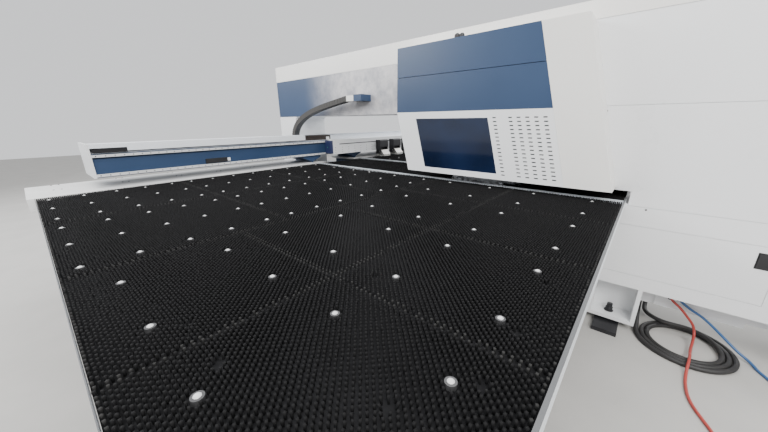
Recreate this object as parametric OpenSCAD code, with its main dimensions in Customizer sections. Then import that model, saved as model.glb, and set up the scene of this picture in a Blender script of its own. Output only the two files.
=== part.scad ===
// CNC turret punch press: closed O-frame, brush tables, travelling beam with clamps, and two turret discs.
// X runs along the beam, Y from the front of the frame to the rear, Z up from the floor.
// The origin is on the floor, in the frame's middle plane.

/* [Frame] */
// Width of the O-frame across its side panels
frame_w = 510; // [500:2:560]
// Y of the frame's front face
frame_front = -2807; // [-3000:1:-2700]
// Y of the frame's rear face
frame_rear = 2807; // [2750:1:3000]
// Height of the machine
machine_h = 2206; // [2150:1:2300]
// Y of the throat's front wall
throat_front = -960; // [-980:1:-900]
// Y of the throat's rear wall
throat_rear = 2422; // [2400:1:2500]
// Height of the throat's roof, under the bridge
throat_top = 1552; // [1520:1:1580]
// Height of the throat's floor
throat_floor = 700; // [660:1:740]
// Radius in the throat's corners
throat_r = 60; // [30:5:80]
// Height of the column's underside
column_bottom = 340; // [320:1:360]
// Half width of the base block between the feet
base_half_w = 85; // [75:5:100]
// Height of the base block's underside
base_bottom = 190; // [160:1:220]
// Thickness of the cover sheets
sheet = 4; // [2:0.5:6]
// Width of the seams between panels
seam = 4; // [2:0.5:6]

/* [Side panels] */
// Distance from the machine's top down to the bridge panel
bridge_panel_drop = 192; // [150:1:230]
// Distance from the machine's top down to the front column's panels
column_panel_drop = 116; // [96:1:150]
// Height of the seam between the upper and middle panels
middle_seam = 1567; // [1500:1:1600]
// Height of the seam between the middle panel and the ledge
ledge_seam = 925; // [910:1:930]
// Height of the cabinet door's top edge
door_top = 791; // [740:1:820]
// Height of the cabinet door's bottom edge
door_bottom = 440; // [400:1:480]
// Y of the cabinet door's free edge
door_free_y = -2072; // [-2200:1:-1900]
// Y of the cabinet door's hinge edge
door_hinge_y = -1290; // [-1300:1:-1270]
// Width of the door's latch paddle
latch_w = 56; // [40:1:70]
// Height of the door's latch paddle
latch_h = 86; // [60:1:110]

/* [Head covers] */
// How far a head cover stands out from the frame's side
head_depth = 250; // [200:5:300]
// Height of a head cover's bottom edge
head_bottom = 1043; // [1035:1:1060]
// Distance from the machine's top down to a head cover's top
head_drop = 123; // [121:1:146]
// Y of the head cover's rear edge, above the rake
head_rear = 422; // [400:1:440]
// Y of the head cover's front edge, at its top
head_front = -1005; // [-1050:1:-1000]
// Lean of the head cover's edges, as run over rise
rake = 0.2687; // [0.2:0.0001:0.3]
// Height of the groove between the fixed panel and the door
head_groove = 1842; // [1800:1:1880]
// Height of the border between the door's blue cap and its white sheet
cap_bottom = 1555; // [1553:1:1600]
// Y of the door's front seam, at the cover's top
head_seam_y = -738; // [-760:1:-720]
// Height of the window's lower edge
window_bottom = 1088; // [1070:1:1110]
// Height of the window's upper edge
window_top = 1500; // [1450:1:1520]
// Y of the window's rear edge, at its top
window_rear = 212; // [190:1:230]
// Width of the window
window_w = 654; // [500:1:660]
// Number of rows of vent slots
vent_rows = 16; // [4:1:16]
// Height step between the vent rows
vent_pitch = 27.8; // [25:0.1:27.8]
// Length of a vent slot
vent_l = 27; // [20:1:34]
// Height of a vent slot
vent_h = 8; // [5:0.5:12]
// Pitch between vent columns
vent_column = 58.3; // [50:0.1:60]

/* [Tables] */
// Height of the brush tips, where the sheet slides
table_z = 975; // [965:1:985]
// Height of the tufts above their boards
tuft_h = 17; // [12:1:20]
// Thickness of the brush boards
board_t = 23; // [15:1:25]
// X of a side table's outer edge
table_outer = 2855; // [2800:5:2880]
// X of the middle of the rail slot
slot_x = 385; // [383:1:395]
// Width of the rail slot between the tables
slot_w = 40; // [36:1:44]
// Y of the tables' front edge
table_front = -1347; // [-1360:1:-1330]
// Y of the seam between the front and rear tiles
table_mid = 19; // [0:1:40]
// Y of the brush tables' rear edge
table_rear = 1787; // [1750:1:1800]
// Gap between brush tiles
tile_gap = 5; // [3:0.5:8]
// Pitch of the tuft rows, two to a ridge
tuft_pitch = 38.6; // [34:0.1:80]
// Radius of a ball transfer's cup
cup_r = 13.5; // [12:0.5:16]
// Radius of a transfer ball
ball_r = 10; // [8:0.5:11.5]
// How far the rear deck stands out past the table's outer edge
deck_overhang = 40; // [30:5:120]
// Depth of the rear deck's folded edge
deck_fold = 90; // [60:5:110]

/* [Beam] */
// Y of the beam's front face, at its rearmost place
beam_front = 1892; // [1880:1:1900]
// Depth of the beam in Y
beam_depth = 445; // [420:1:450]
// X of the beam's ends
beam_half_l = 2512; // [2500:1:2560]
// Height of the beam's underside
beam_bottom = 1057; // [1050:1:1065]
// Height of the beam's box
beam_top = 1247; // [1243:1:1250]
// Height of the chain channel's top
channel_top = 1323; // [1315:1:1330]
// Thickness of the beam's end plates
end_plate = 17; // [12:1:24]
// How far the linear rails stand out of the beam
rail_proud = 23; // [18:1:28]
// Height of the upper linear rail's middle
rail_upper_z = 1229; // [1226:1:1231]
// Height of the lower linear rail's middle
rail_lower_z = 1075; // [1072:1:1080]
// Travel of the beam towards the front
travel_y = 1250; // [1000:10:1300]

/* [Carriage and clamps] */
// X of the carriage's left end
carriage_left = -185; // [-195:1:-175]
// Length of the carriage
carriage_l = 1900; // [1800:10:2000]
// How far the carriage stands out of the beam's front
carriage_proud = 102; // [90:1:110]
// X of the first clamp
clamp_x = 805; // [785:1:825]
// Pitch of the clamps
clamp_pitch = 320; // [300:5:340]
// Width of a clamp body
clamp_w = 182; // [150:1:190]
// Depth of a clamp body
clamp_d = 90; // [70:1:100]
// How far the jaws reach past the clamp body
jaw_reach = 60; // [40:1:70]

/* [Turret] */
// Y of the turret's axis
turret_y = -300; // [-320:1:-280]
// Radius of a turret disc
turret_r = 340; // [340:1:350]
// Number of stations
stations = 16; // [8:2:20]
// Radius of the station circle
station_circle = 278; // [262:1:280]
// Radius of a large station's bore
station_big = 42; // [30:1:42]
// Radius of a small station's bore
station_small = 26; // [16:1:28]
// Radius of the ram's rod
ram_r = 30; // [20:1:35]

/* [Energy chain] */
// Width of the energy chain
chain_w = 80; // [60:1:120]
// How far the chain's outer side stands from the frame's side
chain_reach = 152; // [130:1:160]
// Height of the energy chain
chain_h = 56; // [40:1:60]
// Number of links in the chain over the Y axis
links = 20; // [12:1:26]

/* [Feet] */
// Height of a foot bracket's base plate above the floor
foot_z = 50; // [40:1:70]
// Width of a foot bracket
foot_w = 288; // [240:2:300]
// Radius of a levelling bolt
bolt_r = 18; // [12:1:24]

/* [Cords] */
// Radius of the black supply cable
cable_r = 15; // [12:0.5:15]
// Radius of the red air hose
red_r = 8; // [5:1:12]
// Radius of the blue air hose
blue_r = 8; // [5:1:12]

/* [Hidden] */
$fn = 48;
// Running gap between parts that move past each other
run = 0.3;
// Small overlap that joins two shapes of one solid
eps = 0.01;
frame_l = frame_rear - frame_front;
wall_x = frame_w / 2;
core_x = wall_x - sheet;
// Gap at a weld or a bolted seat, which keeps its two sides apart as solids
weld = 0.05;
hole_r = turret_r + 12;
bridge_panel_top = machine_h - bridge_panel_drop;
column_panel_top = machine_h - column_panel_drop;
head_top = machine_h - head_drop;
head_x = wall_x + head_depth;
board_z = table_z - tuft_h;
boards_bottom = board_z - board_t;
beam_rear = beam_front + beam_depth;
body_front = beam_front + rail_proud;
carriage_front = beam_front - carriage_proud;
clamp_front = carriage_front - clamp_d;
slot_in = slot_x - slot_w / 2;
slot_out = slot_x + slot_w / 2;
ledge_z = 850;
// Thickness of the strip along each table's outer side, and how far the table's legs stand back
strip_t = 2;
leg_back = 110;
ledge_t = 50;
ledge_over = 70;
saddle_half_w = 48;
rail_w = 30;
rail_h = 28;
screw_y_x = slot_x - 62;
screw_y_z = ledge_z + 45;
screw_y_r = 16;
screw_x_z = 1150;
screw_x_y = body_front + 30;
screw_x_r = 16;
foot_ys = [-2560, -1419, 2400];
// Distance of a levelling bolt from the middle of its bracket
bolt_off = 15;
// Pad under a levelling bolt: length out from the frame, width and height
pad = [270, 150, 30];
white = [0.90, 0.89, 0.86];
blue = [0.30, 0.40, 0.54];
steel = [0.72, 0.73, 0.75];
black = [0.08, 0.08, 0.09];

// A box given by its low and high corners
module box(low, high) {
    translate(low) cube(high - low);
}

// The same shape on the other side of the frame's middle plane
module other_side() {
    mirror([1, 0, 0]) children();
}

// A profile drawn in Y and Z, extruded along X from x0 to x1
module along_x(x0, x1) {
    translate([x0, 0, 0]) rotate([90, 0, 90]) linear_extrude(x1 - x0) children();
}

// A profile drawn in X and Z, extruded along Y from y0 to y1
module along_y(y0, y1) {
    translate([0, y1, 0]) rotate([90, 0, 0]) linear_extrude(y1 - y0) children();
}

// A rectangle with rounded corners, from low to high
module round_rect(low, high, r) {
    translate([low[0] + r, low[1]]) square([high[0] - low[0] - 2 * r, high[1] - low[1]]);
    translate([low[0], low[1] + r]) square([high[0] - low[0], high[1] - low[1] - 2 * r]);
    for (y = [low[0] + r, high[0] - r])
        for (z = [low[1] + r, high[1] - r])
            translate([y, z]) circle(r);
}

// The O-frame: a welded plate frame with the throat through it
module o_frame() {
    slot_low = boards_bottom;
    slot_high = 1022;
    color(white) {
        difference() {
            along_x(-core_x, core_x) {
                difference() {
                    polygon([[frame_front, column_bottom], [frame_rear, column_bottom],
                             [frame_rear, machine_h - sheet], [frame_front, machine_h - sheet]]);
                    round_rect([throat_front, throat_floor], [throat_rear, throat_top], throat_r);
                    translate([table_front - 25, slot_low])
                        square([throat_front - table_front + 25 + throat_r, slot_high - slot_low]);
                }
            }
            // Welds across the frame, and across the front column above and below the slot
            for (y = [throat_front + throat_r, throat_rear - throat_r - weld])
                box([-core_x - 1, y, column_bottom - 1], [core_x + 1, y + weld, machine_h]);
            for (z = [slot_low, slot_high - weld])
                box([-core_x - 1, frame_front - 1, z], [core_x + 1, table_front - 24, z + weld]);
        }
        // Base block, higher under the front end, with a gap in its sides beside the foot
        difference() {
            box([-base_half_w, frame_front + 60, base_bottom],
                [base_half_w, frame_rear - 60, column_bottom - weld]);
            box([-base_half_w - 1, frame_front, base_bottom - 1], [base_half_w + 1, base_step_y, base_bottom + 36]);
            for (s = [-1, 1])
                box([s * base_half_w - 15, base_gap_y, base_bottom - 1],
                    [s * base_half_w + 15, base_gap_y + 19, column_bottom]);
        }
        // Bearing housings of the two turret discs
        translate([0, turret_y, upper_hub_top() + run]) cylinder(r = 150, h = throat_top - upper_hub_top() - run - weld);
        translate([0, turret_y, throat_floor + weld]) cylinder(r = 170, h = 60 - weld);
        // Ledges that carry the Y rails, with gussets under them
        for (s = [0, 1])
            mirror([s, 0, 0]) {
                box([-slot_out - ledge_over, throat_front - 240, ledge_z - ledge_t],
                    [-core_x - weld, throat_rear + 200, ledge_z]);
                for (y = [throat_front - 200 : 420 : throat_rear + 100])
                    translate([0, y, 0]) along_y(0, 20)
                        polygon([[-core_x - weld, ledge_z - ledge_t + eps],
                                 [-slot_out - ledge_over + 20, ledge_z - ledge_t + eps],
                                 [-core_x - weld, ledge_z - 220]]);
            }
        // Posts on the ledges that carry the centre table's side tiles
        for (s = [0, 1])
            mirror([s, 0, 0])
                for (y = [throat_front + 20, turret_y - hole_r + 20, turret_y + hole_r - 60, turret_y + hole_r + 60, 500])
                    box([-slot_in + 20, y, ledge_z + weld], [-slot_in + 60, y + 40, boards_bottom]);
        // Posts that carry the centre table
        for (x = [-200, 200])
            for (y = [throat_front + 100, 300, 1000, table_rear - 120])
                box([x - 25, y - 25, throat_floor + weld], [x + 25, y + 25, boards_bottom]);
    }
}

function upper_hub_top() = throat_top - 242;
base_step_y = -2085;
base_gap_y = -1646;

// Cover sheet over the top of the frame, folded down its sides
module top_cover() {
    color(white)
        difference() {
            union() {
                box([-wall_x, frame_front, column_panel_top + seam], [wall_x, frame_rear, machine_h]);
                box([-wall_x, throat_front - 7, bridge_panel_top + seam], [wall_x, frame_rear, machine_h - sheet]);
            }
            box([-core_x, frame_front - 1, bridge_panel_top - 1], [core_x, frame_rear + 1, machine_h - sheet]);
        }
}

// Painted panel along the side of the bridge
module bridge_panel_left() {
    color(blue)
        box([-wall_x, throat_front - 7, throat_top], [-core_x, frame_rear, bridge_panel_top]);
}

module bridge_panel_right() {
    other_side() bridge_panel_left();
}

// The door's outline in the side panels, with its seam
module door_outline(grow) {
    translate([door_free_y - grow, door_bottom - grow])
        square([door_hinge_y - door_free_y + 2 * grow, door_top - door_bottom + 2 * grow]);
}

// Cover panels of both columns, one set a side; the left set has the door's opening
module side_panels(with_door) {
    notch_y = table_front - 25;
    notch_z = 1022;
    along_x(-wall_x, -core_x) {
        translate([frame_front, middle_seam + seam / 2])
            square([throat_front - 7 - seam - frame_front, column_panel_top - middle_seam - seam]);
        difference() {
            translate([frame_front, ledge_seam + seam / 2])
                square([throat_front - frame_front, middle_seam - ledge_seam - seam]);
            translate([notch_y, ledge_seam - 1]) square([throat_front - notch_y + 1, notch_z - ledge_seam + 1]);
            translate([throat_front - 7 - seam, throat_top - seam]) square([20, middle_seam]);
        }
        difference() {
            translate([frame_front, door_top + seam / 2])
                square([throat_front - 240 - frame_front, ledge_seam - door_top - seam]);
            if (with_door) door_outline(seam);
        }
        difference() {
            translate([frame_front, column_bottom])
                square([throat_front - 240 - frame_front, door_top - column_bottom - seam / 2]);
            if (with_door) door_outline(seam);
        }
        translate([throat_rear, column_bottom]) square([frame_rear - throat_rear, ledge_z - ledge_t - column_bottom - 20]);
        translate([throat_rear, ledge_z + 10]) square([frame_rear - throat_rear, throat_top - ledge_z - 10 - seam]);
    }
}

module column_panels() {
    color(white) {
        side_panels(true);
        other_side() side_panels(false);
    }
}

// Hinged cabinet door, low on the front column, with a pocket for the latch
module cabinet_door() {
    color(white)
        difference() {
            along_x(-wall_x, -core_x - run) door_outline(0);
            box([-wall_x - 1, latch_y() - run, latch_z() - run],
                [-wall_x + 2, latch_y() + latch_w + run, latch_z() + latch_h + run]);
        }
}

function latch_y() = door_free_y + 17;
function latch_z() = door_top - 128;

// Flush latch paddle that swings out on its top edge
module door_latch() {
    color(black)
        difference() {
            box([-wall_x - 6, latch_y(), latch_z()], [-wall_x + 2 - run, latch_y() + latch_w, latch_z() + latch_h]);
            box([-wall_x - 7, latch_y() + 8, latch_z() + 8], [-wall_x - 3, latch_y() + latch_w - 8, latch_z() + 30]);
        }
}

// Y of a raked line at height z, given its Y at the head cover's top
function raked(y_top, z) = y_top - (head_top - z) * rake;
// Y of the head cover's rear edge at height z
function head_rear_y(z) = head_rear - max(0, cap_bottom - z) * rake;

// Side outline of a head cover, shrunk all round by t
module head_outline(t) {
    polygon([[head_rear - t, head_top - t], [head_rear - t, cap_bottom - t * 0.14],
             [head_rear_y(head_bottom) - t * 1.04, head_bottom - 1],
             [raked(head_front, head_bottom - 1) + t * 1.04, head_bottom - 1],
             [raked(head_front, head_top - t) + t * 1.04, head_top - t]]);
}

// The part of the head cover's face behind the door's front seam, between two heights
module face_strip(z0, z1, gap) {
    polygon([[head_rear_y(z0) - gap, z0], [raked(head_seam_y, z0) + gap, z0],
             [raked(head_seam_y, z1) + gap, z1], [head_rear_y(z1) - gap, z1]]);
}

// Head cover: a folded shell with the raked front return, open at its bottom and back
module head_shell_left() {
    color(white)
        difference() {
            along_x(-head_x, -wall_x - run) intersection() {
                head_outline(0);
                translate([frame_front, head_bottom]) square([frame_l, head_top - head_bottom]);
            }
            along_x(-head_x + sheet, -wall_x + 1) head_outline(sheet);
            along_x(-head_x - 1, -head_x + sheet + eps) {
                polygon([[head_rear + 1, head_bottom - 1], [raked(head_seam_y, head_bottom - 1), head_bottom - 1],
                         [raked(head_seam_y, head_top + 1), head_top + 1], [head_rear + 1, head_top + 1]]);
            }
            // Step that sets the bright corner strip back from the panel
            along_x(-head_x - 1, -head_x + 2)
                polygon([[raked(head_front + 39, head_bottom - 1), head_bottom - 1],
                         [raked(head_front - 5, head_bottom - 1), head_bottom - 1],
                         [raked(head_front - 5, head_top + 1), head_top + 1],
                         [raked(head_front + 39, head_top + 1), head_top + 1]]);
        }
}

module head_shell_right() {
    other_side() head_shell_left();
}

// Upper fixed panel of the head cover
module head_upper_panel_left() {
    color(blue)
        along_x(-head_x, -head_x + sheet) face_strip(head_groove + seam, head_top, 0.5);
}

module head_upper_panel_right() {
    other_side() head_upper_panel_left();
}

// Window opening: a parallelogram that leans with the cover
module window_outline(grow) {
    lean = (window_top - window_bottom) * rake;
    polygon([[window_rear + grow, window_top + grow], [window_rear - window_w - grow, window_top + grow],
             [window_rear - window_w - lean - grow, window_bottom - grow],
             [window_rear - lean + grow, window_bottom - grow]]);
}

// Vent slots in rows and raked columns; one column of the grid is left out
module vents() {
    first = window_rear - window_w - 49.5;
    for (row = [0 : vent_rows - 1])
        for (column = [0, 2, 3, 4, 5, 6])
            translate([first - column * vent_column - row * vent_pitch * rake - vent_l / 2,
                       window_top - row * vent_pitch - vent_h / 2])
                square([vent_l, vent_h]);
}

// Lifting door of the head cover, with the window and the vents
module head_door_left() {
    color(white)
        along_x(-head_x, -head_x + sheet)
            difference() {
                face_strip(head_bottom, cap_bottom, 0.5);
                window_outline(0);
                vents();
            }
    color(white)
        along_x(-head_x + sheet - eps, -head_x + sheet + 12)
            difference() {
                window_outline(18);
                window_outline(0);
            }
}

module head_door_right() {
    other_side() head_door_left();
}

// Blue cap that carries the door's hinge edge
module head_door_cap_left() {
    color(blue)
        along_x(-head_x, -head_x + sheet) face_strip(cap_bottom + eps, head_groove, 0.5);
}

module head_door_cap_right() {
    other_side() head_door_cap_left();
}

// Tinted pane in the door's frame
module head_window_left() {
    color([0.10, 0.14, 0.30, 0.6])
        along_x(-head_x + 3, -head_x + 9) window_outline(-0.2);
}

module head_window_right() {
    other_side() head_window_left();
}

// Cable gland with two domes on the roof of the left head cover
module roof_gland() {
    color(black)
        translate([-head_x + 60, -136, head_top]) {
            translate([-25, -45, 0]) cube([50, 90, 8]);
            translate([0, 18, 8 - eps]) cylinder(r = 22, h = 14);
            translate([0, 18, 22]) sphere(22 - eps);
            translate([0, -22, 8 - eps]) cylinder(r = 20, h = 12);
            translate([0, -22, 20]) sphere(20 - eps);
        }
}

// Radius of station i's bore: large and small stations take turns
function station_r(i) = i % 2 == 0 ? station_big : station_small;

module at_stations() {
    for (i = [0 : stations - 1])
        translate([0, turret_y, 0]) rotate(90 + i * 360 / stations) translate([station_circle, 0, 0]) {
            $station = i;
            children();
        }
}

upper_bottom = table_z + 30;
upper_top = upper_bottom + 80;
lower_top = table_z - 12;
lower_bottom = lower_top - 75;
hub_fit = 0.05;

// Upper disc, hung from its hub, with a stepped rim and a bore for each station
module upper_turret() {
    color(steel)
        difference() {
            translate([0, turret_y, 0]) rotate_extrude()
                polygon([[0, upper_bottom], [turret_r, upper_bottom], [turret_r, upper_bottom + 50],
                         [turret_r - 12, upper_bottom + 56], [turret_r - 12, upper_top], [0, upper_top]]);
            at_stations() translate([0, 0, upper_bottom - 1]) cylinder(r = station_r($station), h = 90);
        }
    // Hub, bolted on top of the disc
    color(steel)
        translate([0, turret_y, 0]) rotate_extrude()
            polygon([[0, upper_top + hub_fit], [180, upper_top + hub_fit], [120, upper_top + 40],
                     [120, upper_hub_top()], [0, upper_hub_top()]]);
}

// Lower disc, carried on its hub, with a seat for each die
module lower_turret() {
    color(steel)
        difference() {
            translate([0, turret_y, lower_bottom]) cylinder(r = turret_r, h = lower_top - lower_bottom);
            at_stations() translate([0, 0, lower_top - 22]) cylinder(r = station_r($station), h = 30);
            at_stations() translate([0, 0, lower_bottom - 1]) cylinder(r = station_r($station) * 0.6, h = 90);
        }
    // Hub, bolted under the disc
    color(steel)
        translate([0, turret_y, 0]) rotate_extrude()
            polygon([[0, throat_floor + 60 + run], [140, throat_floor + 60 + run], [140, lower_bottom - 60],
                     [200, lower_bottom - hub_fit], [0, lower_bottom - hub_fit]]);
}

// Punch guides in the upper disc, each with its head and stripper spring cap
module punches() {
    color([0.55, 0.56, 0.58])
        at_stations() translate([0, 0, upper_bottom + 4]) {
            r = station_r($station) - 0.05;
            cylinder(r = r, h = upper_top - upper_bottom);
            translate([0, 0, upper_top - upper_bottom - eps]) cylinder(r = r * 0.86, h = 10);
            translate([0, 0, upper_top - upper_bottom + 10 - 2 * eps]) cylinder(r = r * 0.5, h = 12);
            translate([0, 0, -10]) cylinder(r = r * 0.35, h = 10 + eps);
        }
}

// Dies in the lower disc, each with its hole
module dies() {
    color([0.45, 0.46, 0.48])
        at_stations() translate([0, 0, lower_top - 22])
            difference() {
                cylinder(r = station_r($station) - 0.05, h = 32);
                translate([0, 0, -1]) cylinder(r = station_r($station) * 0.4, h = 40);
            }
}

ram_bottom = upper_top + 4 + 22 + 30;
ram_y = turret_y + station_circle;

// Press cylinder under the bridge, over the punching station
module ram_cylinder() {
    color(steel)
        translate([0, ram_y, 0])
            difference() {
                union() {
                    translate([0, 0, ram_bottom + 70]) cylinder(r = 75, h = throat_top - ram_bottom - 70);
                    translate([0, 0, throat_top - 36]) cylinder(r = 110, h = 36);
                }
                translate([0, 0, ram_bottom + 69]) cylinder(r = ram_r, h = throat_top - ram_bottom - 110);
            }
}

// Ram rod with its striker
module ram() {
    color([0.80, 0.81, 0.83])
        translate([0, ram_y, 0]) {
            translate([0, 0, ram_bottom + 24]) cylinder(r = ram_r - 0.05, h = throat_top - ram_bottom - 84);
            translate([0, 0, ram_bottom + 10]) cylinder(r = 48, h = 26);
            translate([0, 0, ram_bottom]) cylinder(r1 = 36, r2 = 48, h = 10 + eps);
        }
}

leg = 60;
inner_leg_x = -1215;
// Side table stand: long and cross tubes under the boards, on legs with pads
module table_frame_left() {
    x0 = -table_outer + 10;
    x1 = -slot_out - 60;
    y0 = table_front + 8;
    y1 = table_rear - 4;
    tube = 60;
    zt = boards_bottom;
    leg_xs = [x0, inner_leg_x];
    color(white) {
        for (y = [y0, table_mid - tube / 2, y1 - tube])
            box([x0, y, zt - tube], [x1, y + tube, zt]);
        for (x = [x0, (x0 + x1) / 2 - tube / 2, x1 - tube])
            box([x, y0, zt - tube], [x + tube, y1, zt]);
        for (x = leg_xs)
            for (y = [y0 + leg_back, y1 - leg]) {
                box([x, y, 20], [x + leg, y + leg, zt - tube + eps]);
                box([x - 20, y - 20, 0], [x + leg + 20, y + leg + 20, 20 + eps]);
            }
        for (x = leg_xs)
            box([x + 10, y0 + leg_back + leg - eps, 260], [x + 50, y1 - leg + eps, 300]);
        // Outer side plate of the table
        box([x0 - 4, y0, zt - 110], [x0 + eps, y1, zt]);
        // Feet that stand on the frame's ledge, clear of the saddle
        for (y = [table_front + 160, 900])
            box([x1 - eps, y, ledge_z], [-slot_x - saddle_half_w - 4, y + 80, zt]);
    }
}

module table_frame_right() {
    other_side() table_frame_left();
}

// One brush tile: a board with a ridge for every two rows of tufts, combed along Y
module brush_tile(x0, x1, y0, y1) {
    low = x0 + tile_gap / 2;
    high = x1 - tile_gap / 2;
    count = floor((high - low) / tuft_pitch);
    step = (high - low) / count;
    land = step * 0.3;
    comb = [for (i = [0 : count - 1])
                for (p = [[0, 1], [step - land, 1], [step - land, 0], [step, 0]])
                    [low + i * step + p[0], p[1] == 1 ? table_z : board_z]];
    along_y(y0 + tile_gap / 2, y1 - tile_gap / 2)
        polygon(concat([[low, boards_bottom]], comb, [[high, boards_bottom]]));
}

// Tile edges on a side table, as X distances from its outer edge
front_columns = [0, 622, 1242, 1875, 2450];
rear_columns = [0, 885, 1685, 2450];

module side_tiles() {
    last = table_outer - slot_out;
    front_row = (table_front + table_mid) / 2;
    rear_row = (table_mid + table_rear) / 2 + 23;
    for (c = [0 : 3])
        for (r = [[table_front, front_row], [front_row, table_mid]])
            brush_tile(-table_outer + min(front_columns[c], last), -table_outer + min(front_columns[c + 1], last), r[0], r[1]);
    for (c = [0 : 2])
        for (r = [[table_mid, rear_row], [rear_row, table_rear]])
            brush_tile(-table_outer + min(rear_columns[c], last), -table_outer + min(rear_columns[c + 1], last), r[0], r[1]);
}

module brush_left() {
    color(black) side_tiles();
}

module brush_right() {
    color(black) other_side() side_tiles();
}

// Centre brush tiles round the turret
module brush_centre() {
    corner = hole_r * sin(45) + 1;
    back = turret_y + hole_r;
    front = turret_y - hole_r;
    color(black) {
        for (x = [-slot_in, 0])
            brush_tile(x, x + slot_in, back, table_rear);
        brush_tile(-slot_in, slot_in, table_front, front);
        for (x = [-slot_in, corner])
            for (y = [turret_y + corner, front])
                brush_tile(x, x + slot_in - corner, y, y + hole_r - corner);
    }
}

// Ball transfer at a place on the table
module ball_transfer(x, y) {
    translate([x, y, board_z - 8]) {
        cylinder(r = cup_r, h = tuft_h + 8 - 4);
        translate([0, 0, tuft_h + 8 + 1 - ball_r]) sphere(ball_r, $fn = 24);
    }
}

// X distances of the balls from the table's outer edge, and their Y places
front_ball_xs = [135, 482, 753, 1105, 1365, 1725, 2008, 2358];
front_ball_ys = [-1191, -834, -508, -158];
rear_ball_xs = [62, 242, 428, 612, 802, 955, 1138, 1332, 1535, 1748, 1942, 2132, 2342];
rear_ball_ys = [102, 442, 782, 1019, 1349, 1692];

module side_balls() {
    last = table_outer - slot_out - 3 * cup_r;
    for (x = front_ball_xs)
        for (y = front_ball_ys)
            if (x < last) ball_transfer(-table_outer + x, y);
    for (x = rear_ball_xs)
        for (y = rear_ball_ys)
            if (x < last) ball_transfer(-table_outer + x, y);
}

module ball_transfers() {
    color(steel) {
        side_balls();
        other_side() side_balls();
    }
}

// Aluminium edge strips: outer edge, front edge and both lips of the rail slot
module side_strips() {
    top = table_z + 2;
    box([-table_outer - strip_t, table_front - 10, boards_bottom - 16], [-table_outer, table_rear, top]);
    box([-table_outer - strip_t, table_front - 10, boards_bottom - 16], [-wall_x - run, table_front, top]);
    box([-slot_out, table_front, boards_bottom], [-slot_out + 8, table_rear, top]);
    box([-slot_in - 8, table_front, boards_bottom], [-slot_in, table_rear, top]);
}

module edge_strips() {
    color(steel) {
        side_strips();
        other_side() side_strips();
    }
}

// Rear deck: a folded sheet behind the brush table, and the narrow plate beyond the slot
module rear_deck_left() {
    x0 = -table_outer - deck_overhang;
    color(white) {
        difference() {
            box([x0, table_rear + 10, table_z - deck_fold], [-slot_out, throat_rear, table_z]);
            box([x0 + sheet, table_rear + 10 + sheet, table_z - deck_fold - 1],
                [-slot_out - sheet, throat_rear - sheet, table_z - sheet]);
            // Its folds stop short of the saddle's guide block
            box([-slot_x - saddle_half_w - 6, table_rear, table_z - deck_fold - 1],
                [-slot_out + 1, throat_rear + 1, boards_bottom + 2]);
        }
        for (x = [x0 + 120, (x0 - slot_out) / 2 + 60])
            box([x, throat_rear - 100, 0], [x + leg, throat_rear - 100 + leg, table_z - sheet + eps]);
        difference() {
            box([-slot_in, table_rear + 10, table_z - 40], [-wall_x - run, throat_rear, table_z]);
            box([-slot_in + sheet, table_rear, table_z - 41], [-wall_x, throat_rear + 1, table_z - sheet]);
        }
    }
}

module rear_deck_right() {
    other_side() rear_deck_left();
}

// Linear rails of the Y axis on the frame's ledges
module y_rails() {
    y0 = beam_front - travel_y - 60;
    color(steel)
        for (s = [-1, 1])
            difference() {
                box([s * slot_x - rail_w / 2, y0, ledge_z], [s * slot_x + rail_w / 2, throat_rear + 150, ledge_z + rail_h]);
                for (t = [-1, 1])
                    box([s * slot_x + t * rail_w / 2 - 4, y0 - 1, ledge_z + 10],
                        [s * slot_x + t * rail_w / 2 + 4, throat_rear + 151, ledge_z + 16]);
            }
}

// Ball screw of the Y axis
module y_screw() {
    color(steel)
        translate([-screw_y_x, 0, screw_y_z]) rotate([-90, 0, 0])
            translate([0, 0, beam_front - travel_y - 40]) {
                cylinder(r = screw_y_r, h = throat_rear + 120 - beam_front + travel_y + 40);
                cylinder(r = screw_y_r + 5, h = 20);
            }
}

// Servo motor of the Y axis behind its bearing block
module y_motor() {
    y0 = throat_rear + 60;
    color(black) {
        difference() {
            box([-screw_y_x - 36, y0, ledge_z], [-screw_y_x + 36, y0 + 40, screw_y_z + 40]);
            translate([-screw_y_x, y0 - 1, screw_y_z]) rotate([-90, 0, 0]) cylinder(r = screw_y_r + 0.05, h = 42);
        }
        translate([-screw_y_x, y0 + 66, screw_y_z]) rotate([-90, 0, 0]) cylinder(r = 40, h = 120);
        difference() {
            translate([-screw_y_x, y0 + 40 - eps, screw_y_z]) rotate([-90, 0, 0]) cylinder(r = 34, h = 27);
            translate([-screw_y_x, y0 + 39, screw_y_z]) rotate([-90, 0, 0]) cylinder(r = screw_y_r + 0.05, h = 24);
        }
    }
}

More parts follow.
